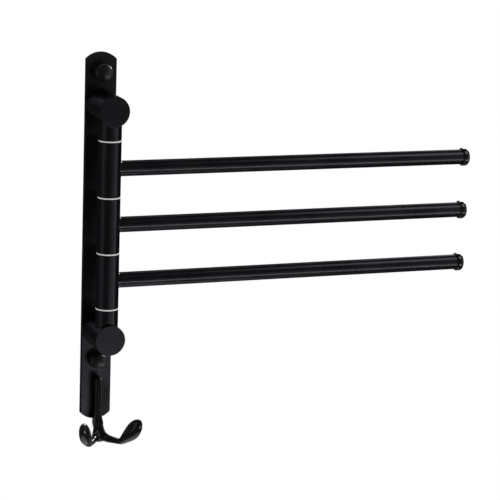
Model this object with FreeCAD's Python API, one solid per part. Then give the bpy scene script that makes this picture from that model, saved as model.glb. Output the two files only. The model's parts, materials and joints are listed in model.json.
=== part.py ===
import FreeCAD, Part
import math
import os

os.makedirs("parts", exist_ok=True)

# Three-arm swivel towel bar with a double robe hook
# +X runs along the arms at rest, the wall is the plane y = 0 and the front faces -Y.
# The origin is on the wall, midway between the two wall holes, and +Z is up.
Vector = FreeCAD.Vector
along_arm = Vector(1, 0, 0)
to_front = Vector(0, -1, 0)
upward = Vector(0, 0, 1)

# Wall plate
plate_width = 28.0
plate_thickness = 4.5
plate_end_radius = 19.0
plate_corner_round = 1.2
plate_edge_round = 0.6
wall_hole_radius = 2.6
plate_above_hole = 17.5
plate_below_hole = 55.5

# Posts that stand out from the plate and carry the column
post_inset = 0.25
hole_above_post = 29.5
post_face_distance = 47.2
post_face_round = 0.5

# Column of fixed collars, turning sleeves and thin washers
column_radius = 10.25
column_distance = 33.8
column_edge = 0.4
collar_length = 12.75
sleeve_bore_radius = 7.0
arm_pitch = 50.6
washer_thickness = 1.2
washer_inset = 0.15

# Pivot shaft and its seats in the posts
shaft_radius = 4.0
shaft_end_chamfer = 0.5
shaft_rise_in_post = 6.0
shaft_drop_in_post = 3.0
bush_length = 10.0

# Clearances
running_gap = 0.08
turning_play = 0.05
seat_gap = 0.05
screw_gap = 0.25
blind_end_gap = 1.0
overrun = 5.0
join_tolerance = 0.001

# Arm tubes with their root plugs and end caps
arm_reach = 350.9
arm_radius = 7.0
arm_wall = 1.0
root_neck_radius = 4.5
root_seat_depth = 1.15
root_shoulder_length = 0.6
root_spigot_length = 12.0
arm_stud_radius = 3.0
arm_stud_length = 13.0
arm_stud_recess = 0.4
end_cap_radius = 8.5
end_cap_length = 7.0
end_cap_dome = 0.7
end_cap_rim_round = 3.4
end_cap_back_round = 1.2
end_cap_spigot_length = 10.0

# Snap caps over the wall screws
screw_cap_radius = 7.8
screw_cap_height = 12.0
screw_cap_wall = 1.0
screw_cap_dome = 2.2
screw_cap_rim_round = 2.2
cap_base_height = 4.0
cap_base_floor = 1.0
cap_base_bore_radius = 5.0

# Screws: a shank, and a cone or cylinder for its head
post_screw_radius = 3.0
post_screw_head_radius = 6.0
post_screw_depth = 13.0
hook_screw_radius = 2.0
hook_screw_head_radius = 4.0
hook_screw_depth = 8.5
shaft_screw_radius = 2.5
shaft_screw_head_radius = 4.25
shaft_screw_head_height = 5.0
shaft_screw_depth = 13.0
shaft_screw_floor = 4.0

# Robe hook: a boss, a stem and two prongs that end in drops
hook_below_hole = 17.5
hook_stem_width = 7.2
hook_stem_foot_width = 6.6
hook_stem_front = 16.2
hook_stem_back = 6.9
hook_stem_round = 2.2
hook_stem_length = 41.0
hook_boss_radius = 3.4
prong_distance = 11.9
prong_start_drop = 29.3
prong_lead_length = 9.0
prong_splay_angle = 31.6
prong_bend_radius = 13.9
prong_run_heading = 1.6
prong_run_length = 12.5
prong_rise_radius = 4.0
prong_rise_heading = 53.5
drop_run_length = 17.6
drop_tip_length = 14.6
prong_root_half_width = 3.2
prong_root_half_depth = 6.8
prong_neck_half_width = 3.1
prong_neck_half_depth = 2.55
drop_half_width = 5.2
drop_half_depth = 7.4
drop_offset = 3.35
knuckle_radius = 4.2
knuckle_distance = 18.0
knuckle_drop = 52.3
lead_share = 0.5
prong_taper_share = 1.2
tip_end_share = 0.25
lead_steps = 2
bend_steps = 7
run_steps = 3
rise_steps = 2
drop_steps = 5
tip_steps = 4
loft_degree = 3
ring_points = 10

# Places that follow from the sizes above
arm_names = ["bottom", "middle", "top"]
arm_count = len(arm_names)
column_foot = Vector(0, -column_distance, 0)
sleeve_length = arm_pitch - washer_thickness - 2 * turning_play
stack_height = arm_count * arm_pitch / 2
collar_start = stack_height + washer_thickness / 2
post_radius = plate_width / 2 - post_inset
post_height = collar_start + collar_length + post_radius
wall_hole_height = post_height + hole_above_post
shaft_top = post_height + shaft_rise_in_post
shaft_foot = -(post_height + shaft_drop_in_post)
hook_height = -(wall_hole_height + hook_below_hole)
tube_start = column_radius + root_shoulder_length
tube_end = arm_reach - end_cap_length
tube_bore_radius = arm_radius - arm_wall


def rod(radius, start, direction, length):
    """A solid cylinder from start along direction."""
    return Part.makeCylinder(radius, length, start, direction)


def turned(corners, centre, direction):
    """A solid of revolution: corners are (distance along the axis, radius) pairs."""
    points = []
    outward = (along_arm + upward).cross(direction).normalize()
    for distance, radius in corners:
        points.append(centre + direction * distance + outward * radius)
    points.append(points[0])
    face = Part.Face(Part.makePolygon(points))
    return face.revolve(centre, direction, 360)


def domed(radius, length, dome, centre, direction):
    """A cylinder whose far face swells by dome at its middle."""
    sphere_radius = (radius * radius + dome * dome) / (2 * dome)
    body = rod(radius, centre, direction, length)
    ball = Part.makeSphere(sphere_radius, centre + direction * (length - sphere_radius))
    return body.common(ball)


def round_edges_at(shape, direction, distance, radius, size):
    """Round the circular edges of the given radius that lie at one distance along a direction."""
    chosen = []
    for edge in shape.Edges:
        curve = edge.Curve
        if not isinstance(curve, Part.Circle):
            continue
        off = abs(curve.Center.dot(direction) - distance)
        if off < size / 2 and abs(curve.Radius - radius) < size / 2:
            chosen.append(edge)
    return shape.makeFillet(size, chosen)


def countersunk_screw(shank_radius, head_radius, length, centre, direction):
    """A screw whose head's flat lies in the wall plane."""
    cone_height = head_radius - shank_radius
    corners = [(0, 0), (0, head_radius), (cone_height, shank_radius), (length, shank_radius), (length, 0)]
    return turned(corners, centre, direction)


def countersunk_hole(shank_radius, head_radius, centre, direction):
    """The cut for a countersunk screw through the wall plate."""
    hole_radius = shank_radius + screw_gap
    mouth_radius = head_radius + seat_gap
    cone_height = mouth_radius - hole_radius
    end = plate_thickness + overrun
    corners = [(-overrun, 0), (-overrun, mouth_radius), (0, mouth_radius), (cone_height, hole_radius)]
    corners += [(end, hole_radius), (end, 0)]
    return turned(corners, centre, direction)


# Wall plate with arched ends
def make_back_plate():
    half = plate_width / 2
    sag = plate_end_radius - math.sqrt(plate_end_radius**2 - half**2)
    top = wall_hole_height + plate_above_hole
    foot = -(wall_hole_height + plate_below_hole)
    right_foot = Vector(half, 0, foot + sag)
    right_top = Vector(half, 0, top - sag)
    left_top = Vector(-half, 0, top - sag)
    left_foot = Vector(-half, 0, foot + sag)
    edges = [Part.LineSegment(right_foot, right_top).toShape()]
    edges.append(Part.Arc(right_top, Vector(0, 0, top), left_top).toShape())
    edges.append(Part.LineSegment(left_top, left_foot).toShape())
    edges.append(Part.Arc(left_foot, Vector(0, 0, foot), right_foot).toShape())
    plate = Part.Face(Part.Wire(edges)).extrude(to_front * plate_thickness)
    corners = []
    for edge in plate.Edges:
        along = edge.tangentAt(edge.FirstParameter)
        if abs(along.dot(to_front)) > math.cos(math.radians(1)):
            corners.append(edge)
    plate = plate.makeFillet(plate_corner_round, corners)
    front = []
    for edge in plate.Edges:
        if edge.BoundBox.YMax < -plate_thickness + plate_edge_round / 2:
            front.append(edge)
    plate = plate.makeFillet(plate_edge_round, front)
    for height in (wall_hole_height, -wall_hole_height):
        start = Vector(0, overrun, height)
        plate = plate.cut(rod(wall_hole_radius, start, to_front, plate_thickness + 2 * overrun))
    for height in (post_height, -post_height):
        plate = plate.cut(countersunk_hole(post_screw_radius, post_screw_head_radius,
                                           Vector(0, 0, height), to_front))
    return plate.cut(countersunk_hole(hook_screw_radius, hook_screw_head_radius,
                                      Vector(0, 0, hook_height), to_front))


# Posts: round bars with a plain face, drilled for the screw behind and for the shaft
def make_post(height):
    start = Vector(0, -plate_thickness, height)
    post = rod(post_radius, start, to_front, post_face_distance - plate_thickness)
    post = round_edges_at(post, to_front, post_face_distance, post_radius, post_face_round)
    depth = post_screw_depth + blind_end_gap
    return post.cut(rod(post_screw_radius + seat_gap, start, to_front, depth))


def make_upper_post():
    post = make_post(post_height)
    start = column_foot + upward * (post_height - post_radius - overrun)
    depth = shaft_top + blind_end_gap - start.z
    return post.cut(rod(shaft_radius + seat_gap, start, upward, depth))


def make_lower_post():
    post = make_post(-post_height)
    seat = column_foot + upward * shaft_foot
    reach = post_radius + shaft_drop_in_post + overrun
    post = post.cut(rod(shaft_radius + seat_gap, seat, upward, reach))
    post = post.cut(rod(shaft_screw_radius + screw_gap, seat, -upward, reach))
    head_seat = seat - upward * shaft_screw_floor
    return post.cut(rod(shaft_screw_head_radius + screw_gap, head_seat, -upward, reach))


# Fixed collars, coped to the round of the posts
def make_collar(side):
    start = column_foot + upward * (side * collar_start)
    bore = shaft_radius + seat_gap
    length = post_height - collar_start
    corners = [(0, bore), (0, column_radius - column_edge), (column_edge, column_radius)]
    corners += [(length, column_radius), (length, bore)]
    collar = turned(corners, start, upward * side)
    post_start = Vector(0, 0, side * post_height)
    return collar.cut(rod(post_radius, post_start, to_front, post_face_distance + overrun))


# Turning sleeve: a bore for the bushes, a flat seat and a hole for the arm's root
def make_sleeve(height):
    root = column_foot + upward * height
    half = sleeve_length / 2
    near = half - column_edge
    inner = column_radius - column_edge
    corners = [(-half, sleeve_bore_radius), (-half, inner), (-near, column_radius)]
    corners += [(near, column_radius), (half, inner), (half, sleeve_bore_radius)]
    sleeve = turned(corners, root, upward)
    seat = root + along_arm * (column_radius - root_seat_depth)
    sleeve = sleeve.cut(rod(root_neck_radius + seat_gap, seat, along_arm, overrun))
    return sleeve.cut(rod(arm_stud_radius + seat_gap, root, along_arm, column_radius))


# Nylon bush: pressed into one end of a sleeve, running on the shaft
def make_bush(height, side):
    start = column_foot + upward * (height + side * sleeve_length / 2)
    bush = rod(sleeve_bore_radius, start, upward * -side, bush_length)
    bore_start = start + upward * (side * overrun)
    return bush.cut(rod(shaft_radius + running_gap, bore_start, upward * -side,
                        bush_length + 2 * overrun))


def make_washer(height):
    start = column_foot + upward * (height - washer_thickness / 2)
    washer = rod(column_radius - washer_inset, start, upward, washer_thickness)
    return washer.cut(rod(shaft_radius + running_gap, start, upward, washer_thickness))


# Pivot shaft: one bar through the whole column, tapped at its foot
def make_pivot_shaft():
    length = shaft_top - shaft_foot
    foot = column_foot + upward * shaft_foot
    inner = shaft_radius - shaft_end_chamfer
    near = shaft_end_chamfer
    corners = [(0, 0), (0, inner), (near, shaft_radius), (length - near, shaft_radius)]
    corners += [(length, inner), (length, 0)]
    shaft = turned(corners, foot, upward)
    depth = shaft_screw_depth + blind_end_gap
    return shaft.cut(rod(shaft_screw_radius + seat_gap, foot, upward, depth))


def make_shaft_screw():
    head_foot = column_foot + upward * (shaft_foot - shaft_screw_floor - shaft_screw_head_height)
    head = rod(shaft_screw_head_radius, head_foot, upward, shaft_screw_head_height)
    shank_length = shaft_screw_head_height + shaft_screw_floor + shaft_screw_depth
    return head.fuse(rod(shaft_screw_radius, head_foot, upward, shank_length))


# Arm stud: screwed through the sleeve's wall into the root plug
def make_arm_stud(height):
    start = column_foot + upward * height + along_arm * (sleeve_bore_radius + arm_stud_recess)
    return rod(arm_stud_radius, start, along_arm, arm_stud_length)


# Root plug: a neck on the sleeve's flat seat, a shoulder coped to the sleeve and a spigot in the tube
def make_root_plug(height):
    root = column_foot + upward * height
    spigot_radius = tube_bore_radius - seat_gap
    spigot_end = tube_start + root_spigot_length
    corners = [(0, 0), (0, arm_radius), (tube_start, arm_radius), (tube_start, spigot_radius)]
    corners += [(spigot_end, spigot_radius), (spigot_end, 0)]
    plug = turned(corners, root, along_arm)
    saddle_foot = root - upward * column_radius
    plug = plug.cut(rod(column_radius + seat_gap, saddle_foot, upward, 2 * column_radius))
    seat = root + along_arm * (column_radius - root_seat_depth)
    plug = plug.fuse(rod(root_neck_radius, seat, along_arm, root_seat_depth + root_shoulder_length))
    hole_length = arm_stud_recess + sleeve_bore_radius + arm_stud_length + blind_end_gap
    return plug.cut(rod(arm_stud_radius + seat_gap, root, along_arm, hole_length))


def make_arm_tube(height):
    start = column_foot + upward * height + along_arm * tube_start
    length = tube_end - tube_start
    tube = rod(arm_radius, start, along_arm, length)
    return tube.cut(rod(tube_bore_radius, start, along_arm, length))


# End cap: a flanged plug with a rounded rim and a slightly domed face
def make_end_cap(height):
    start = column_foot + upward * height + along_arm * tube_end
    cap = domed(end_cap_radius, end_cap_length, end_cap_dome, start, along_arm)
    rim = arm_reach - end_cap_dome
    cap = round_edges_at(cap, along_arm, rim, end_cap_radius, end_cap_rim_round)
    cap = round_edges_at(cap, along_arm, tube_end, end_cap_radius, end_cap_back_round)
    spigot = rod(tube_bore_radius - seat_gap, start, -along_arm, end_cap_spigot_length)
    return cap.fuse(spigot)


# Screw cap: a hollow domed button, snapped over its base
def make_screw_cap(height):
    start = Vector(0, -plate_thickness, height)
    cap = domed(screw_cap_radius, screw_cap_height, screw_cap_dome, start, to_front)
    rim = plate_thickness + screw_cap_height - screw_cap_dome
    cap = round_edges_at(cap, to_front, rim, screw_cap_radius, screw_cap_rim_round)
    hollow = rod(screw_cap_radius - screw_cap_wall, start, to_front,
                 screw_cap_height - screw_cap_dome - screw_cap_wall)
    return cap.cut(hollow)


# Cap base: a shallow cup round the wall hole, held by the wall screw's head
def make_cap_base(height):
    start = Vector(0, -plate_thickness, height)
    radius = screw_cap_radius - screw_cap_wall - seat_gap
    base = rod(radius, start, to_front, cap_base_height)
    floor_top = start + to_front * cap_base_floor
    base = base.cut(rod(cap_base_bore_radius, floor_top, to_front, cap_base_height))
    return base.cut(rod(wall_hole_radius + screw_gap, start, to_front, cap_base_height))


# Robe hook
def ring(centre, across, over, half_across, half_over):
    """Control points of an elliptical ring about centre."""
    swell = loft_degree / (loft_degree - 1 + math.cos(2 * math.pi / ring_points))
    points = []
    for step in range(ring_points):
        turn = 2 * math.pi * step / ring_points
        aside = across * (half_across * swell * math.cos(turn))
        points.append(centre + aside + over * (half_over * swell * math.sin(turn)))
    return points


def smooth_limb(rings):
    """A closed solid whose smooth skin follows the rings and ends flat on the first and the last."""
    spans = len(rings) - loft_degree
    along = [loft_degree + 1] + [1] * (spans - 1) + [loft_degree + 1]
    around = [1] * (ring_points + 1)
    surface = Part.BSplineSurface()
    surface.buildFromPolesMultsKnots(rings, along, around, list(range(spans + 1)),
                                     list(range(ring_points + 1)), False, True, loft_degree, loft_degree)
    skin = surface.toShape()
    faces = [skin]
    for edge in skin.Edges:
        if edge.isClosed() and not edge.isSeam(skin):
            faces.append(Part.Face(Part.Wire([edge])))
    shell = Part.Shell(faces)
    shell.sewShape()
    return Part.Solid(shell)


def blend(share):
    """A share from 0 to 1 that leaves and arrives gently."""
    return (1 - math.cos(math.pi * share)) / 2


def prong_centreline():
    """The prong's middle line as (distance out, height, heading) from the stem down, out and up."""
    heading = -90
    out = 0
    height = -prong_start_drop
    line = [(out, height, heading)]
    stretches = [(0, 0, prong_lead_length, lead_steps)]
    stretches.append((prong_bend_radius, prong_run_heading - heading, 0, bend_steps))
    stretches.append((0, 0, prong_run_length, run_steps))
    stretches.append((prong_rise_radius, prong_rise_heading - prong_run_heading, 0, rise_steps))
    stretches.append((0, 0, drop_run_length, drop_steps))
    for radius, turn, length, steps in stretches:
        for step in range(steps):
            old = math.radians(heading)
            heading += turn / steps
            new = math.radians(heading)
            out += radius * (math.sin(new) - math.sin(old)) + length / steps * math.cos(new)
            height += radius * (math.cos(old) - math.cos(new)) + length / steps * math.sin(new)
            line.append((out, height, heading))
    return line


def root_size(index):
    """Half width and half depth of the prong at one of the stations of its root."""
    if index <= lead_steps:
        grown = lead_share + (1 - lead_share) * index / lead_steps
        return prong_root_half_width * grown, prong_root_half_depth * grown
    share = (index - lead_steps) / (bend_steps + run_steps)
    half_width = prong_root_half_width + (prong_neck_half_width - prong_root_half_width) * share
    thinning = (1 - share) ** prong_taper_share
    half_depth = prong_neck_half_depth + (prong_root_half_depth - prong_neck_half_depth) * thinning
    return half_width, half_depth


def tip_stations(last, length):
    """Stations that close a limb with a round end of the given length."""
    out, height, heading, half_width, half_depth, offset = last
    slope = math.radians(heading)
    stations = []
    for step in range(1, tip_steps + 1):
        turn = math.pi / 2 * step / (tip_steps + tip_end_share)
        ahead = length * math.sin(turn)
        size = math.cos(turn)
        stations.append((out + ahead * math.cos(slope), height + ahead * math.sin(slope), heading,
                         half_width * size, half_depth * size, offset))
    return stations


def prong_stations():
    """Stations of a prong: distance out, height, heading, half width, half depth and offset."""
    root_count = lead_steps + bend_steps + run_steps
    stations = []
    for index, (out, height, heading) in enumerate(prong_centreline()):
        if index <= root_count:
            half_width, half_depth = root_size(index)
            offset = 0
        else:
            share = blend((index - root_count) / (rise_steps + drop_steps))
            half_width = prong_neck_half_width + (drop_half_width - prong_neck_half_width) * share
            half_depth = prong_neck_half_depth + (drop_half_depth - prong_neck_half_depth) * share
            offset = drop_offset * share
        stations.append((out, height, heading, half_width, half_depth, offset))
    return stations + tip_stations(stations[-1], drop_tip_length)


def make_limb(stations, splay_angle):
    """A limb of the hook through its stations, splayed to one side of the hook's middle."""
    splay = math.radians(splay_angle)
    outward = Vector(math.sin(splay), -math.cos(splay), 0)
    across = Vector(math.cos(splay), math.sin(splay), 0)
    middle = Vector(0, -prong_distance, hook_height)
    rings = []
    for out, height, heading, half_width, half_depth, offset in stations:
        slope = math.radians(heading)
        over = upward * math.cos(slope) - outward * math.sin(slope)
        centre = middle + outward * out + upward * height - over * offset
        rings.append(ring(centre, across, over, half_width, half_depth))
    return smooth_limb(rings)


def make_hook_stem():
    """The stem: a bar with a round head, drawn in towards its foot."""
    head = hook_stem_width / 2
    foot = hook_stem_foot_width / 2
    back = -hook_stem_back
    bottom = hook_height - hook_stem_length
    right_top = Vector(head, back, hook_height)
    left_top = Vector(-head, back, hook_height)
    right_foot = Vector(foot, back, bottom)
    left_foot = Vector(-foot, back, bottom)
    edges = [Part.LineSegment(right_foot, right_top).toShape()]
    edges.append(Part.Arc(right_top, Vector(0, back, hook_height + head), left_top).toShape())
    edges.append(Part.LineSegment(left_top, left_foot).toShape())
    edges.append(Part.LineSegment(left_foot, right_foot).toShape())
    stem = Part.Face(Part.Wire(edges)).extrude(to_front * (hook_stem_front - hook_stem_back))
    return stem.makeFillet(hook_stem_round, stem.Edges)


def make_robe_hook():
    hook = make_hook_stem()
    knuckle = Vector(0, -knuckle_distance, hook_height - knuckle_drop)
    start = Vector(0, -plate_thickness, hook_height)
    boss_length = hook_stem_back - plate_thickness + hook_stem_round
    additions = [make_limb(prong_stations(), prong_splay_angle)]
    additions.append(make_limb(prong_stations(), -prong_splay_angle))
    additions.append(Part.makeSphere(knuckle_radius, knuckle))
    additions.append(rod(hook_boss_radius, start, to_front, boss_length))
    for addition in additions:
        hook = hook.fuse([addition], join_tolerance)
    return hook.cut(rod(hook_screw_radius + seat_gap, start, to_front, hook_screw_depth + blind_end_gap))


# Every piece under the name of its node
pieces = {
    "back_plate": make_back_plate(),
    "upper_post": make_upper_post(),
    "lower_post": make_lower_post(),
    "upper_collar": make_collar(1),
    "lower_collar": make_collar(-1),
    "pivot_shaft": make_pivot_shaft(),
    "shaft_screw": make_shaft_screw(),
    "upper_screw_cap": make_screw_cap(wall_hole_height),
    "lower_screw_cap": make_screw_cap(-wall_hole_height),
    "upper_cap_base": make_cap_base(wall_hole_height),
    "lower_cap_base": make_cap_base(-wall_hole_height),
    "robe_hook": make_robe_hook(),
    "hook_screw": countersunk_screw(hook_screw_radius, hook_screw_head_radius,
                                    plate_thickness + hook_screw_depth,
                                    Vector(0, 0, hook_height), to_front),
}
post_screw_length = plate_thickness + post_screw_depth
pieces["post_screws"] = Part.makeCompound([
    countersunk_screw(post_screw_radius, post_screw_head_radius, post_screw_length,
                      Vector(0, 0, height), to_front)
    for height in (post_height, -post_height)])
for number in range(arm_count + 1):
    pieces[f"spacer_washer_{number + 1}"] = make_washer(stack_height - number * arm_pitch)
for number, name in enumerate(arm_names):
    height = (number - (arm_count - 1) / 2) * arm_pitch
    pieces[f"{name}_sleeve"] = make_sleeve(height)
    pieces[f"{name}_upper_bush"] = make_bush(height, 1)
    pieces[f"{name}_lower_bush"] = make_bush(height, -1)
    pieces[f"{name}_arm_stud"] = make_arm_stud(height)
    pieces[f"{name}_root_plug"] = make_root_plug(height)
    pieces[f"{name}_arm_tube"] = make_arm_tube(height)
    pieces[f"{name}_end_cap"] = make_end_cap(height)

for node, shape in pieces.items():
    shape.exportStep(f"parts/{node}.step")
    print(node, len(shape.Solids), round(shape.Volume), shape.isValid())
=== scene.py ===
# %% [markdown]
# # A three-arm swivel towel bar with a double robe hook
#
# A narrow wall plate carries two round posts. Between the posts stands an upright column, and three
# round arms swing on it. Four thin white washers keep the turning sleeves apart. A cast double hook
# hangs from the foot of the plate. Everything but the washers is black.
#
# The engineered model gives each piece its size and place. This lesson gives the pieces their
# finishes, and remakes those that need more form than the engineered solids have: the cast hook,
# the screws, and the collars at the roots of the arms.

# %% Load the engineered model
import bpy
import json
import math
from mathutils import Matrix, Vector

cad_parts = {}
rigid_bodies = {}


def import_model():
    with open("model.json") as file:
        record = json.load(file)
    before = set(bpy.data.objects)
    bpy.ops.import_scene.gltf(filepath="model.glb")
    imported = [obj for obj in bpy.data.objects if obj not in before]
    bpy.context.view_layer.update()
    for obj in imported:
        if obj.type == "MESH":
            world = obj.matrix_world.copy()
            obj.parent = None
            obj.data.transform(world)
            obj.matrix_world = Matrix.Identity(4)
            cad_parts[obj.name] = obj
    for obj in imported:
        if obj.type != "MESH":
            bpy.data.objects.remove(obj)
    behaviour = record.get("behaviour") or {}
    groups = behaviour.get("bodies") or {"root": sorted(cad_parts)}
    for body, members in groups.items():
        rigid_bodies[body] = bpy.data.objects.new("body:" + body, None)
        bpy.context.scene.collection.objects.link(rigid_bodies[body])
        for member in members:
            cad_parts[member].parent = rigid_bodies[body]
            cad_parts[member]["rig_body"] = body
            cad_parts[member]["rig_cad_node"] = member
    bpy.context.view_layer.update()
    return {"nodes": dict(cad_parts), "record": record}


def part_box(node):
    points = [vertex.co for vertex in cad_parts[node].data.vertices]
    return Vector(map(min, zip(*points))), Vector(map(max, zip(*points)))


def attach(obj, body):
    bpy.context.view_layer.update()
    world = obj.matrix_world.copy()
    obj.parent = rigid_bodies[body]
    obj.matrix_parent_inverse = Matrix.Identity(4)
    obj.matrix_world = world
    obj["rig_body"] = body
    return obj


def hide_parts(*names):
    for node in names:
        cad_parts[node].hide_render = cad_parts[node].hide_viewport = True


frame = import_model()
nodes = frame["nodes"]

# %% [markdown]
# ## Small helpers
#
# Blender's operators work on whatever is selected. The loaded pieces arrive selected, so every step
# that uses an operator starts from an empty selection and picks its own object.

# %% Select one object
def select_nothing():
    bpy.ops.object.select_all(action="DESELECT")


def pick(piece):
    select_nothing()
    piece.select_set(True)
    bpy.context.view_layer.objects.active = piece


select_nothing()
print("selected now:", len(bpy.context.selected_objects))

# %% [markdown]
# A loaded piece is never changed, because it belongs to the engineered model. A piece that needs
# more form is copied first. The loaded meshes are loose triangles, so the copy's points are merged
# into one closed skin, which a modifier can then work on.

# %% Take a merged copy of a loaded piece
def millimetres(length):
    return length / 1000


merge_distance = millimetres(0.002)


def own_copy(source, name):
    """Copy a piece with its mesh, so a change to the copy doesn't reach the first."""
    piece = source.copy()
    piece.data = source.data.copy()
    piece.name = name
    bpy.context.scene.collection.objects.link(piece)
    return piece


def merged_copy(node, name):
    piece = own_copy(nodes[node], name)
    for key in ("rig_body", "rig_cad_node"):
        del piece[key]
    piece.parent = None
    pick(piece)
    bpy.ops.object.mode_set(mode="EDIT")
    bpy.ops.mesh.select_all(action="SELECT")
    bpy.ops.mesh.remove_doubles(threshold=merge_distance)
    bpy.ops.object.mode_set(mode="OBJECT")
    bpy.ops.mesh.customdata_custom_splitnormals_clear()
    print(name, "copied with", len(piece.data.polygons), "faces")
    return piece


print("copies merge points nearer than", merge_distance, "m")

# %% Add a modifier and apply it
def apply_modifier(piece, kind, **settings):
    pick(piece)
    modifier = piece.modifiers.new(kind.lower(), kind)
    for key, value in settings.items():
        setattr(modifier, key, value)
    bpy.ops.object.modifier_apply(modifier=modifier.name)
    print(piece.name, "after", kind, "has", len(piece.data.polygons), "faces")


print("the modifier helper is ready")

# %% [markdown]
# ## Finishes
#
# The black pieces have three finishes. The plate, posts, sleeves and arms are satin: a baked powder
# coat with a faint pebbled skin, so lamps show in them as soft bands. The hook, the root collars
# and the end caps are glossy enamel, where the same lamps show as sharp lines. The two domed caps
# over the wall screws are moulded, and their shine lies between the two.
#
# A finish could be one dark colour, but it would look like a drawing. Each one here is built from
# noise at the real grain of the coat: a wide layer varies the shade and the gloss, and a fine one
# raises the skin. They read Object coordinates, so the grain stays on the piece as it turns.

# %% A shader with its noise layers
def start_material(name):
    material = bpy.data.materials.new(name)
    material.use_nodes = True
    tree = material.node_tree
    shader = tree.nodes["Principled BSDF"]
    place = tree.nodes.new("ShaderNodeTexCoord")
    return material, tree, shader, place


def noise_layer(tree, place, grain, detail, stretch=(1, 1, 1)):
    """Noise whose spots are about grain wide, in metres."""
    mapping = tree.nodes.new("ShaderNodeMapping")
    mapping.inputs["Scale"].default_value = stretch
    tree.links.new(place.outputs["Object"], mapping.inputs["Vector"])
    noise = tree.nodes.new("ShaderNodeTexNoise")
    noise.inputs["Scale"].default_value = 1 / grain
    noise.inputs["Detail"].default_value = detail
    tree.links.new(mapping.outputs["Vector"], noise.inputs["Vector"])
    return noise.outputs["Fac"]


print("the noise helpers are ready")

# %% [markdown]
# A noise layer seldom comes near 0 or 1. So a finish stretches the middle of the layer's range over
# all of its own, from its smoothest to its dullest and from its darker to its lighter shade.

# %% Let a layer vary the gloss, the shade and the skin
gloss_from, gloss_to = 0.3, 0.7
shade_from, shade_to = 0.35, 0.65


def spread(tree, layer, low, high, socket):
    band = tree.nodes.new("ShaderNodeMapRange")
    band.inputs["From Min"].default_value = gloss_from
    band.inputs["From Max"].default_value = gloss_to
    band.inputs["To Min"].default_value = low
    band.inputs["To Max"].default_value = high
    tree.links.new(layer, band.inputs["Value"])
    tree.links.new(band.outputs["Result"], socket)


def shade_between(tree, layer, dark, light, socket):
    ramp = tree.nodes.new("ShaderNodeValToRGB")
    ramp.color_ramp.elements[0].position = shade_from
    ramp.color_ramp.elements[1].position = shade_to
    ramp.color_ramp.elements[0].color = (*dark, 1)
    ramp.color_ramp.elements[1].color = (*light, 1)
    tree.links.new(layer, ramp.inputs["Fac"])
    tree.links.new(ramp.outputs["Color"], socket)


def raise_skin(tree, shader, layer, height):
    bump = tree.nodes.new("ShaderNodeBump")
    bump.inputs["Strength"].default_value = 1
    bump.inputs["Distance"].default_value = height
    tree.links.new(layer, bump.inputs["Height"])
    tree.links.new(bump.outputs["Normal"], shader.inputs["Normal"])


print("gloss follows the noise from", gloss_from, "to", gloss_to)

# %% [markdown]
# ## Satin powder coat
#
# The coat on the real bar shows soft grey bands where it faces a lamp, and its edges stay dark. An
# ordinary black paint does the opposite in a shader: its edges turn bright against a white room.
# So the coat is written as a dark metal. Its base colour is the grey of the bands, and Specular
# Tint holds back the shine at the edges. The pebbles of the coat are half a millimetre wide.

# %% Satin powder coat
satin_dark = (0.034, 0.034, 0.04)
satin_light = (0.042, 0.042, 0.049)
pebble_width = millimetres(0.5)
pebble_height = millimetres(0.006)
edge_tint = (0.4, 0.4, 0.4, 1)


def satin_powder_coat():
    material, tree, shader, place = start_material("satin_powder_coat")
    cloud = noise_layer(tree, place, grain=millimetres(40), detail=3)
    pebbles = noise_layer(tree, place, grain=pebble_width, detail=4)
    shade_between(tree, cloud, satin_dark, satin_light, shader.inputs["Base Color"])
    spread(tree, cloud, low=0.26, high=0.32, socket=shader.inputs["Roughness"])
    raise_skin(tree, shader, pebbles, pebble_height)
    shader.inputs["Metallic"].default_value = 1
    shader.inputs["Specular Tint"].default_value = edge_tint
    return material


satin = satin_powder_coat()
print(satin.name, "has", len(satin.node_tree.nodes), "nodes")

# %% [markdown]
# ## Enamel
#
# Enamel is a clear gloss over near black. Its own colour is almost nothing, and it is seen by what
# it mirrors. A perfect mirror would look wet, so the skin has the slow waves of sprayed paint,
# which sprayers call orange peel. The moulded caps use the same recipe with a duller skin.

# %% Glossy enamel
enamel_dark = (0.0015, 0.0015, 0.0017)
enamel_light = (0.0025, 0.0025, 0.0028)
wave_width = millimetres(2.5)
wave_height = millimetres(0.01)


def black_enamel(name, smoothest, dullest):
    material, tree, shader, place = start_material(name)
    cloud = noise_layer(tree, place, grain=millimetres(9), detail=2)
    orange_peel = noise_layer(tree, place, grain=wave_width, detail=2)
    shade_between(tree, cloud, enamel_dark, enamel_light, shader.inputs["Base Color"])
    spread(tree, cloud, smoothest, dullest, shader.inputs["Roughness"])
    raise_skin(tree, shader, orange_peel, wave_height)
    shader.inputs["IOR"].default_value = 1.5
    return material


enamel = black_enamel("glossy_enamel", smoothest=0.1, dullest=0.16)
cap_enamel = black_enamel("moulded_cap_enamel", smoothest=0.3, dullest=0.38)
for finish in (enamel, cap_enamel):
    print(finish.name, "has", len(finish.node_tree.nodes), "nodes")

# %% [markdown]
# ## Nylon and steel
#
# The washers and the bushes are nylon. It is a milky white: some light goes into it and is lost, so
# a thin washer between black sleeves looks a little grey. Paper white would make it shine out.
#
# The shaft, the studs and the screws are turned steel. A lathe leaves fine lines round a bar, so
# the noise that varies its gloss is stretched twenty times across the upright shaft.

# %% White nylon
nylon_dark = (0.52, 0.52, 0.51)
nylon_light = (0.6, 0.6, 0.59)


def white_nylon():
    material, tree, shader, place = start_material("white_nylon")
    cloud = noise_layer(tree, place, grain=millimetres(4), detail=3)
    shade_between(tree, cloud, nylon_dark, nylon_light, shader.inputs["Base Color"])
    spread(tree, cloud, low=0.35, high=0.5, socket=shader.inputs["Roughness"])
    return material


nylon = white_nylon()
print(nylon.name, "has", len(nylon.node_tree.nodes), "nodes")

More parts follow.
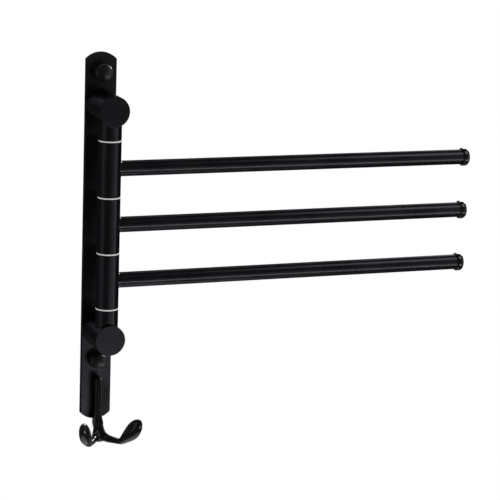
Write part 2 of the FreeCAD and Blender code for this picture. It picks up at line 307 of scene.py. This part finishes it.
# %% Turned steel
steel_dark = (0.5, 0.5, 0.51)
steel_light = (0.62, 0.62, 0.62)
line_width = millimetres(0.2)
line_height = millimetres(0.003)
round_the_shaft = (0.05, 0.05, 1)


def turned_steel():
    material, tree, shader, place = start_material("turned_steel")
    cloud = noise_layer(tree, place, grain=millimetres(5), detail=3)
    lines = noise_layer(tree, place, grain=line_width, detail=2, stretch=round_the_shaft)
    shade_between(tree, cloud, steel_dark, steel_light, shader.inputs["Base Color"])
    spread(tree, lines, low=0.22, high=0.38, socket=shader.inputs["Roughness"])
    raise_skin(tree, shader, lines, line_height)
    shader.inputs["Metallic"].default_value = 1
    return material


steel = turned_steel()
print(steel.name, "has", len(steel.node_tree.nodes), "nodes")

# %% [markdown]
# ## Which piece gets which finish
#
# The model's record names a material slot for each piece. Each finish could be set by hand on 39
# pieces, but one table from slot to finish does it in a loop. Only the two moulded caps differ from
# their slot's finish.

# %% Dress every loaded piece
finish_of_slot = {"satin_black": satin, "gloss_black": enamel, "white_nylon": nylon, "steel": steel}
slot_of_node = {part["node"]: part["material_slot"] for part in frame["record"]["subparts"]}


def dress(piece, finish):
    piece.data.materials.clear()
    piece.data.materials.append(finish)


for name, piece in nodes.items():
    dress(piece, finish_of_slot[slot_of_node[name]])
for name in ("upper_screw_cap", "lower_screw_cap"):
    dress(nodes[name], cap_enamel)
print("dressed", len(nodes), "pieces")

# %% [markdown]
# ## The cast robe hook
#
# The real hook is one casting: the stem flows into a fork, and each prong swells into a drop. The
# engineered solid has the right sizes, but its limbs meet in hard creases that a casting never has.
#
# The creases could be bevelled one by one, but a fork has too many curved edges for that. Here the
# hook is remeshed into even quads, swollen by the size of a fillet, relaxed, and shrunk back by the
# same amount. Its outside comes back to where it was. A crease has been filled by the swelling and
# stays filled, like the fillet of wax in a pattern maker's mould.

# %% Melt the hook's creases
skin_size = millimetres(0.45)
fillet = millimetres(4)


def remesh(piece):
    apply_modifier(piece, "REMESH", mode="VOXEL", voxel_size=skin_size, adaptivity=0)


def relax(piece, rounds):
    apply_modifier(piece, "SMOOTH", factor=0.5, iterations=rounds)


hook = merged_copy("robe_hook", "cast_hook")
remesh(hook)
apply_modifier(hook, "DISPLACE", strength=fillet, mid_level=0)
remesh(hook)
relax(hook, rounds=8)
apply_modifier(hook, "DISPLACE", strength=-fillet, mid_level=0)
remesh(hook)
relax(hook, rounds=10)

# %% Enamel the hook
pick(hook)
bpy.ops.object.shade_smooth()
dress(hook, enamel)
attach(hook, "wall_mount")
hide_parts("robe_hook")
print("the hook has", len(hook.data.polygons), "faces")

# %% [markdown]
# ## Screw heads
#
# Nobody sees the screws once the bar is on the wall, but from behind their heads are the only
# bright spots. The engineered screws are plain, and real ones have a recess for the driver: a cross
# in the countersunk screws, and a hexagon in the one that clamps the lower post from below.
#
# A recess could be drawn with a dark stripe, but it would stay flat in raking light. Each one is
# cut with a boolean modifier instead. The cross cutter is a box that narrows as it goes in, and the
# same box again after a quarter turn.

# %% Select by place
def select_where(piece, test):
    """Leave piece in edit mode with only the points selected for which test is true."""
    bpy.ops.object.mode_set(mode="EDIT")
    bpy.ops.mesh.select_mode(type="VERT")
    bpy.ops.mesh.select_all(action="DESELECT")
    bpy.ops.object.mode_set(mode="OBJECT")
    for point in piece.data.vertices:
        point.select = test(point.co)
    bpy.ops.object.mode_set(mode="EDIT")


def settle(piece):
    """Put a new primitive's place into its mesh, so its object sits at the origin."""
    pick(piece)
    bpy.ops.object.transform_apply(location=True, rotation=True, scale=True)
    return piece


print("the shaping helpers are ready")

# %% Cut one piece with another
def discard(tool):
    pick(tool)
    bpy.ops.object.delete()


def cut_with(piece, cutter):
    apply_modifier(piece, "BOOLEAN", operation="DIFFERENCE", solver="EXACT", use_self=True,
                   object=cutter)
    discard(cutter)


print("the cutting helpers are ready")

# %% Make a cross cutter
tip_reach, tip_slot = 0.4, 0.7
quarter_turn = math.pi / 2


def cross_cutter(face, reach, slot, depth):
    """Two crossed blades that narrow inwards, for a head that faces the wall at the point face."""
    select_nothing()
    bpy.ops.mesh.primitive_cube_add(size=1, location=face)
    cutter = settle(bpy.context.active_object)
    bpy.ops.object.mode_set(mode="EDIT")
    bpy.ops.mesh.select_all(action="SELECT")
    bpy.ops.transform.resize(value=(reach, 2 * depth, slot), center_override=face)
    select_where(cutter, lambda place: place.y < face.y)
    bpy.ops.transform.resize(value=(tip_reach, 1, tip_slot), center_override=face)
    bpy.ops.mesh.select_all(action="SELECT")
    bpy.ops.mesh.duplicate()
    bpy.ops.transform.rotate(value=quarter_turn, orient_axis="Y", center_override=face)
    bpy.ops.object.mode_set(mode="OBJECT")
    return cutter


print("a blade's tip is", tip_reach, "of its reach and", tip_slot, "of its width")

# %% Cut the screws of the posts
screw_crease = math.radians(30)


def finish_screw(screw, node):
    pick(screw)
    bpy.ops.object.shade_smooth_by_angle(angle=screw_crease)
    dress(screw, steel)
    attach(screw, "wall_mount")
    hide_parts(node)
    print(screw.name, "has", len(screw.data.polygons), "faces")


post_low, post_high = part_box("post_screws")
screw_span = post_high[0] - post_low[0]
post_screws = merged_copy("post_screws", "cross_head_post_screws")
for height in (post_high[2] - screw_span / 2, post_low[2] + screw_span / 2):
    head = Vector((0, post_high[1], height))
    cut_with(post_screws, cross_cutter(head, reach=millimetres(6.6), slot=millimetres(1.4),
                                       depth=millimetres(3.2)))
finish_screw(post_screws, "post_screws")

# %% Cut the hook's screw
def middle_of(low, high):
    return (Vector(low) + Vector(high)) / 2


hook_low, hook_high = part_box("hook_screw")
hook_head = middle_of(hook_low, hook_high)
hook_head.y = hook_high[1]
hook_screw = merged_copy("hook_screw", "cross_head_hook_screw")
cut_with(hook_screw, cross_cutter(hook_head, reach=millimetres(4.6), slot=millimetres(1.1),
                                  depth=millimetres(2.4)))
finish_screw(hook_screw, "hook_screw")

# %% Cut the hexagon of the shaft's screw
hexagon_sides = 6
socket_radius = millimetres(2.9)
socket_depth = millimetres(3.5)


def cylinder(sides, radius, length, middle, turned=(0, 0, 0)):
    select_nothing()
    bpy.ops.mesh.primitive_cylinder_add(vertices=sides, radius=radius, depth=length,
                                        location=middle, rotation=turned)
    return settle(bpy.context.active_object)


shaft_low, shaft_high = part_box("shaft_screw")
shaft_head = middle_of(shaft_low, shaft_high)
shaft_head.z = shaft_low[2]
shaft_screw = merged_copy("shaft_screw", "socket_shaft_screw")
cut_with(shaft_screw, cylinder(hexagon_sides, socket_radius, 2 * socket_depth, shaft_head))
finish_screw(shaft_screw, "shaft_screw")

# %% [markdown]
# ## Root collars
#
# Where an arm meets its sleeve, a glossy collar is coped to the sleeve's round. On the real bar a
# small fillet runs round this joint and catches a spark of light. The engineered collar meets the
# sleeve in a sharp corner, which no lamp can show.
#
# A bevel can only cut an edge, and the fillet fills a corner. So the collar is made again from a
# cylinder with a few rings at its end. Each ring is widened along the fillet's hollow curve and
# then shrunk onto a gauge of the column's round. It is made once, and copied to the other arms.

# %% Measure the root of the top arm
first_low, first_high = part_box("top_root_plug")
tube_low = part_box("top_arm_tube")[0]
sleeve_low, sleeve_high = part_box("top_sleeve")
arm_line = middle_of(first_low, first_high)
collar_radius = (first_high[2] - first_low[2]) / 2
neck_radius = millimetres(4.5)
spigot_step = millimetres(1.05)
seat_depth = millimetres(1.15)
inside_column = millimetres(5)
column_radius = (sleeve_high[0] - sleeve_low[0]) / 2
column_middle = middle_of(sleeve_low, sleeve_high)
neck_end = column_radius - seat_depth


def from_arm_line(place):
    return math.hypot(place.y - arm_line.y, place.z - arm_line.z)


def point_on_arm(x):
    return Vector((x, arm_line.y, arm_line.z))


print("the collar's radius is", round(collar_radius, 5), "m, and its neck's is", neck_radius, "m")

# %% [markdown]
# The collar starts inside the column, where its rings are still flat. Its outer end is stepped down
# to the spigot that fits the arm's tube, and its inner end to the neck that sits in the sleeve. The
# rings are cut before the neck is drawn in, so that no ring cuts the neck as well.

# %% Turn the collar
collar_sides = 96
fillet_steps = 4
ring_distance = millimetres(0.1)
ring_reach = ring_distance / 3
neck_insets = 2
along_arm = (0, quarter_turn, 0)
shoulder_middle = point_on_arm((inside_column + tube_low[0]) / 2)
collar = cylinder(collar_sides, collar_radius, tube_low[0] - inside_column, shoulder_middle,
                  along_arm)
collar.name = "top_coped_collar"
select_where(collar, lambda place: place.x > shoulder_middle.x)
bpy.ops.mesh.inset(thickness=spigot_step)
spigot = (first_high[0] - tube_low[0], 0, 0)
bpy.ops.mesh.extrude_region_move(TRANSFORM_OT_translate={"value": spigot})
for step in range(1, fillet_steps + 1):
    bpy.ops.mesh.select_all(action="SELECT")
    bpy.ops.mesh.bisect(plane_co=point_on_arm(inside_column + step * ring_distance),
                        plane_no=(1, 0, 0))
select_where(collar, lambda place: place.x < inside_column + ring_reach)
for half in range(neck_insets):
    bpy.ops.mesh.inset(thickness=(collar_radius - neck_radius) / neck_insets)
neck = (neck_end - inside_column, 0, 0)
bpy.ops.mesh.extrude_region_move(TRANSFORM_OT_translate={"value": neck})
bpy.ops.object.mode_set(mode="OBJECT")
print("the collar starts with", len(collar.data.polygons), "faces")

# %% Widen a ring along the fillet's curve
fillet_width = millimetres(0.8)
fillet_length = millimetres(0.53)
seat_gap = millimetres(0.05)


def on_ring(place, step):
    at_ring = abs(place.x - inside_column - step * ring_distance) < ring_reach
    return at_ring and from_arm_line(place) > neck_radius - seat_gap


def on_rim(place, step):
    return on_ring(place, step) and from_arm_line(place) > collar_radius - seat_gap


def fillet_angle(step):
    return quarter_turn * step / fillet_steps


def widen_rim(step):
    widened = collar_radius + fillet_width * (1 - math.sin(fillet_angle(step)))
    widening = widened / collar_radius
    pick(collar)
    select_where(collar, lambda place: on_rim(place, step))
    bpy.ops.transform.resize(value=(1, widening, widening),
                             center_override=point_on_arm(inside_column))
    bpy.ops.object.mode_set(mode="OBJECT")


print("the fillet is", fillet_width, "m wide in", fillet_steps, "steps")

# %% Shrink a ring onto the column's round
gauge_sides = 256
gauge_length = 3 * collar_radius
gauge_middle = Vector((column_middle.x, column_middle.y, arm_line.z))
full_weight = 1


def shrink_ring(step):
    ring = collar.vertex_groups.new(name=f"ring_{step}")
    points = [point.index for point in collar.data.vertices if on_ring(point.co, step)]
    ring.add(points, full_weight, "ADD")
    gauge_radius = column_radius + seat_gap + fillet_length * (1 - math.cos(fillet_angle(step)))
    gauge = cylinder(gauge_sides, gauge_radius, gauge_length, gauge_middle)
    apply_modifier(collar, "SHRINKWRAP", target=gauge, wrap_method="PROJECT", use_project_x=True,
                   vertex_group=ring.name)
    discard(gauge)


for step in reversed(range(fillet_steps + 1)):
    widen_rim(step)
    shrink_ring(step)
print("the collar reaches from", round(min(point.co.x for point in collar.data.vertices), 5), "m")

# %% Bore it for the stud
bore_sides = 48
bore_overrun = millimetres(1)
collar_crease = math.radians(40)
stud_low, stud_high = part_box("top_arm_stud")
bore_radius = (stud_high[2] - stud_low[2]) / 2 + seat_gap
bore_length = 2 * (stud_high[0] + bore_overrun)
cut_with(collar, cylinder(bore_sides, bore_radius, bore_length, point_on_arm(0), along_arm))
pick(collar)
bpy.ops.object.shade_smooth_by_angle(angle=collar_crease)
apply_modifier(collar, "WEIGHTED_NORMAL", keep_sharp=True)

# %% Give each arm its collar
def seat_collar(piece, arm):
    dress(piece, enamel)
    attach(piece, f"{arm}_arm")
    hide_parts(f"{arm}_root_plug")
    print(piece.name, "has", len(piece.data.polygons), "faces")


for arm in ("middle", "bottom"):
    lower_collar = own_copy(collar, f"{arm}_coped_collar")
    pick(lower_collar)
    bpy.ops.object.mode_set(mode="EDIT")
    bpy.ops.mesh.select_all(action="SELECT")
    bpy.ops.transform.translate(value=Vector(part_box(f"{arm}_root_plug")[0]) - Vector(first_low))
    bpy.ops.object.mode_set(mode="OBJECT")
    seat_collar(lower_collar, arm)
seat_collar(collar, "top")

# %% [markdown]
# ## Floor
#
# The object hangs on a wall, but the picture shows it alone on white. The floor lies well below it,
# where it closes the room from beneath. A floor with a hard rim would show as a ring in some views,
# so its paint fades to clear towards the rim. For mirrors and the camera it glows a little, which
# brings it to the white of the backdrop without more light on the object.

# %% Lay the floor
floor_sides = 96
floor_height = millimetres(-1100)
floor_reach = millimetres(900)
select_nothing()
bpy.ops.mesh.primitive_circle_add(vertices=floor_sides, radius=floor_reach, fill_type="NGON",
                                  location=(0, 0, floor_height))
floor = bpy.context.active_object
floor.name = "studio_floor"
print("floor at", floor_height)

# %% Let the paint glow where it is seen
white = (1, 1, 1, 1)
floor_glow = 0.2


def sum_of(tree, first, second):
    total = tree.nodes.new("ShaderNodeMath")
    total.operation = "ADD"
    tree.links.new(first, total.inputs[0])
    tree.links.new(second, total.inputs[1])
    return total.outputs["Value"]


def glow_where_seen(tree, shader):
    ray = tree.nodes.new("ShaderNodeLightPath")
    mirrored = sum_of(tree, ray.outputs["Is Glossy Ray"], ray.outputs["Is Transmission Ray"])
    seen = sum_of(tree, ray.outputs["Is Camera Ray"], mirrored)
    lift = tree.nodes.new("ShaderNodeMapRange")
    lift.inputs["To Max"].default_value = floor_glow
    tree.links.new(seen, lift.inputs["Value"])
    tree.links.new(lift.outputs["Result"], shader.inputs["Emission Strength"])
    shader.inputs["Emission Color"].default_value = white


print("the paint glows at", floor_glow)

# %% Fade the paint towards the rim
fade_start = floor_reach * 0.4


def fade_to_clear(tree, shader, place):
    distance = tree.nodes.new("ShaderNodeVectorMath")
    distance.operation = "LENGTH"
    tree.links.new(place.outputs["Object"], distance.inputs[0])
    fade = tree.nodes.new("ShaderNodeMapRange")
    fade.interpolation_type = "SMOOTHSTEP"
    fade.inputs["From Min"].default_value = fade_start
    fade.inputs["From Max"].default_value = floor_reach
    tree.links.new(distance.outputs["Value"], fade.inputs["Value"])
    clear = tree.nodes.new("ShaderNodeBsdfTransparent")
    blend = tree.nodes.new("ShaderNodeMixShader")
    tree.links.new(fade.outputs["Result"], blend.inputs["Fac"])
    tree.links.new(shader.outputs["BSDF"], blend.inputs[1])
    tree.links.new(clear.outputs["BSDF"], blend.inputs[2])
    tree.links.new(blend.outputs["Shader"], tree.nodes["Material Output"].inputs["Surface"])


print("the paint fades from", fade_start, "to", floor_reach, "m")

# %% Paint the floor
floor_dark = (0.8, 0.8, 0.8)
floor_light = (0.84, 0.84, 0.84)


def floor_paint():
    material, tree, shader, place = start_material("floor_paint")
    cloud = noise_layer(tree, place, grain=millimetres(600), detail=2)
    shade_between(tree, cloud, floor_dark, floor_light, shader.inputs["Base Color"])
    shader.inputs["Roughness"].default_value = 0.9
    glow_where_seen(tree, shader)
    fade_to_clear(tree, shader, place)
    return material


dress(floor, floor_paint())
print(floor.name, "wears", floor.data.materials[0].name)

# %% [markdown]
# ## World
#
# For the camera the world is plain white. What shows the form of a black object is what it mirrors.
# An all-white room would turn every glossy edge white, and the real coat shows a dim room with a
# few bright bands in it. So mirrors see a white screen behind and above the object, and a dim room
# everywhere else. The level fades smoothly from one to the other.

# %% White world
world = bpy.data.worlds.new("white_room")
bpy.context.scene.world = world
world.use_nodes = True
sky = world.node_tree
backdrop = sky.nodes["Background"]
backdrop.inputs["Color"].default_value = white
ray = sky.nodes.new("ShaderNodeLightPath")
mirrored = sky.nodes.new("ShaderNodeMath")
mirrored.operation = "MAXIMUM"
sky.links.new(ray.outputs["Is Glossy Ray"], mirrored.inputs[0])
sky.links.new(ray.outputs["Is Transmission Ray"], mirrored.inputs[1])
where = sky.nodes.new("ShaderNodeTexCoord")
print("the world is called", world.name)

# %% Levels of light
def fade_along(direction, start, end, low, high):
    """A level of light that changes smoothly from low to high as the ray turns to a direction."""
    along = sky.nodes.new("ShaderNodeVectorMath")
    along.operation = "DOT_PRODUCT"
    along.inputs[1].default_value = Vector(direction).normalized()
    sky.links.new(where.outputs["Generated"], along.inputs[0])
    level = sky.nodes.new("ShaderNodeMapRange")
    level.interpolation_type = "SMOOTHSTEP"
    level.inputs["From Min"].default_value = start
    level.inputs["From Max"].default_value = end
    level.inputs["To Min"].default_value = low
    level.inputs["To Max"].default_value = high
    sky.links.new(along.outputs["Value"], level.inputs["Value"])
    return level.outputs["Result"]


def mix_levels(share, first, second):
    """The first level where share is 0, and the second where it is 1."""
    mix = sky.nodes.new("ShaderNodeMix")
    for socket, level in (("Factor", share), ("A", first), ("B", second)):
        if isinstance(level, bpy.types.NodeSocket):
            sky.links.new(level, mix.inputs[socket])
        else:
            mix.inputs[socket].default_value = level
    return mix.outputs["Result"]


print("the world's helpers are ready")

# %% Light the room
white_level = 1
room_light = 0.8
behind = (0, 1, 0)
behind_and_above = (0, 0.81, 0.58)
room = fade_along(behind, start=0, end=0.9, low=0.07, high=0.16)
screen = fade_along(behind_and_above, start=0.75, end=0.94, low=0, high=1)
mirror_room = mix_levels(screen, room, white_level)
for_mirrors = mix_levels(mirrored.outputs["Value"], room_light, mirror_room)
for_camera = mix_levels(ray.outputs["Is Camera Ray"], for_mirrors, white_level)
sky.links.new(for_camera, backdrop.inputs["Strength"])
print("the world has", len(sky.nodes), "nodes")

# %% [markdown]
# ## Lamps
#
# Each lamp is a large soft panel, placed where one bright band on the real bar comes from. Small
# lamps would give hard dots instead. The strip on the right makes the long band on the column. The
# panel above makes the upper line on the arms, and the low lamp in front makes the lower one. The
# lamp behind makes the bright rims of the end caps. The weak panels lift the left side of the
# column and the faces of the posts, which would else go flat.

# %% Soft panels
def soft_panel(name, direction, distance, width, height, glow):
    """A lamp panel that faces the object; glow is how bright its surface looks."""
    lamp = bpy.data.lights.new(name, "AREA")
    lamp.shape = "RECTANGLE"
    lamp.size = width
    lamp.size_y = height
    lamp.energy = glow * math.pi * width * height
    panel = bpy.data.objects.new(name, lamp)
    bpy.context.scene.collection.objects.link(panel)
    panel.location = Vector(direction).normalized() * distance
    panel.rotation_euler = Vector(direction).to_track_quat("Z", "Y").to_euler()
    print(name, "at", tuple(round(c, 2) for c in panel.location))


soft_panel("right_strip", (0.8, -0.6, -0.05),
           distance=1.5, width=0.4, height=2.0, glow=1.1)
soft_panel("left_panel", (-0.97, -0.22, 0.0),
           distance=1.6, width=1.0, height=1.6, glow=0.3)
soft_panel("front_panel", (0.44, -0.88, -0.13),
           distance=2.6, width=0.6, height=0.9, glow=0.3)
soft_panel("low_front_lamp", (0.4, -0.8, -0.5),
           distance=2.6, width=2.0, height=0.32, glow=4.6)
soft_panel("back_right_lamp", (0.75, 0.55, 0.38),
           distance=1.6, width=0.8, height=0.5, glow=14.0)
soft_panel("top_panel", (0.76, -0.42, 0.8),
           distance=1.2, width=0.4, height=0.4, glow=2.4)

# %% [markdown]
# ## Camera
#
# The camera stands to the left of the bar and above it, and looks down on it through a long lens.
# Its place was worked out from the straight edges of the real bar, so that the plate, the column
# and the arms all fall on their lines. A shorter lens from nearer by would spread the arms apart.

# %% Camera
camera_place = Vector((millimetres(-524.55), millimetres(-1740.06), millimetres(386.02)))
looking_down = 12.789
camera_yaw = math.radians(-21.14)
camera_tilt = math.radians(90 - looking_down)
camera_roll = math.radians(2.03)
focal_pixels = 2057.14
picture_pixels = 500
film_width = 36
matrix_size = 4
lens = bpy.data.cameras.new("photo_camera")
lens.sensor_width = film_width
lens.lens = film_width * focal_pixels / picture_pixels
camera = bpy.data.objects.new("photo_camera", lens)
bpy.context.scene.collection.objects.link(camera)
place = Matrix.Translation(camera_place)
yaw = Matrix.Rotation(camera_yaw, matrix_size, "Z")
tilt = Matrix.Rotation(camera_tilt, matrix_size, "X")
roll = Matrix.Rotation(camera_roll, matrix_size, "Z")
camera.matrix_world = place @ (yaw @ tilt) @ roll
bpy.context.scene.camera = camera
bpy.context.scene.view_settings.view_transform = "Standard"
print("lens", round(lens.lens, 1), "mm")
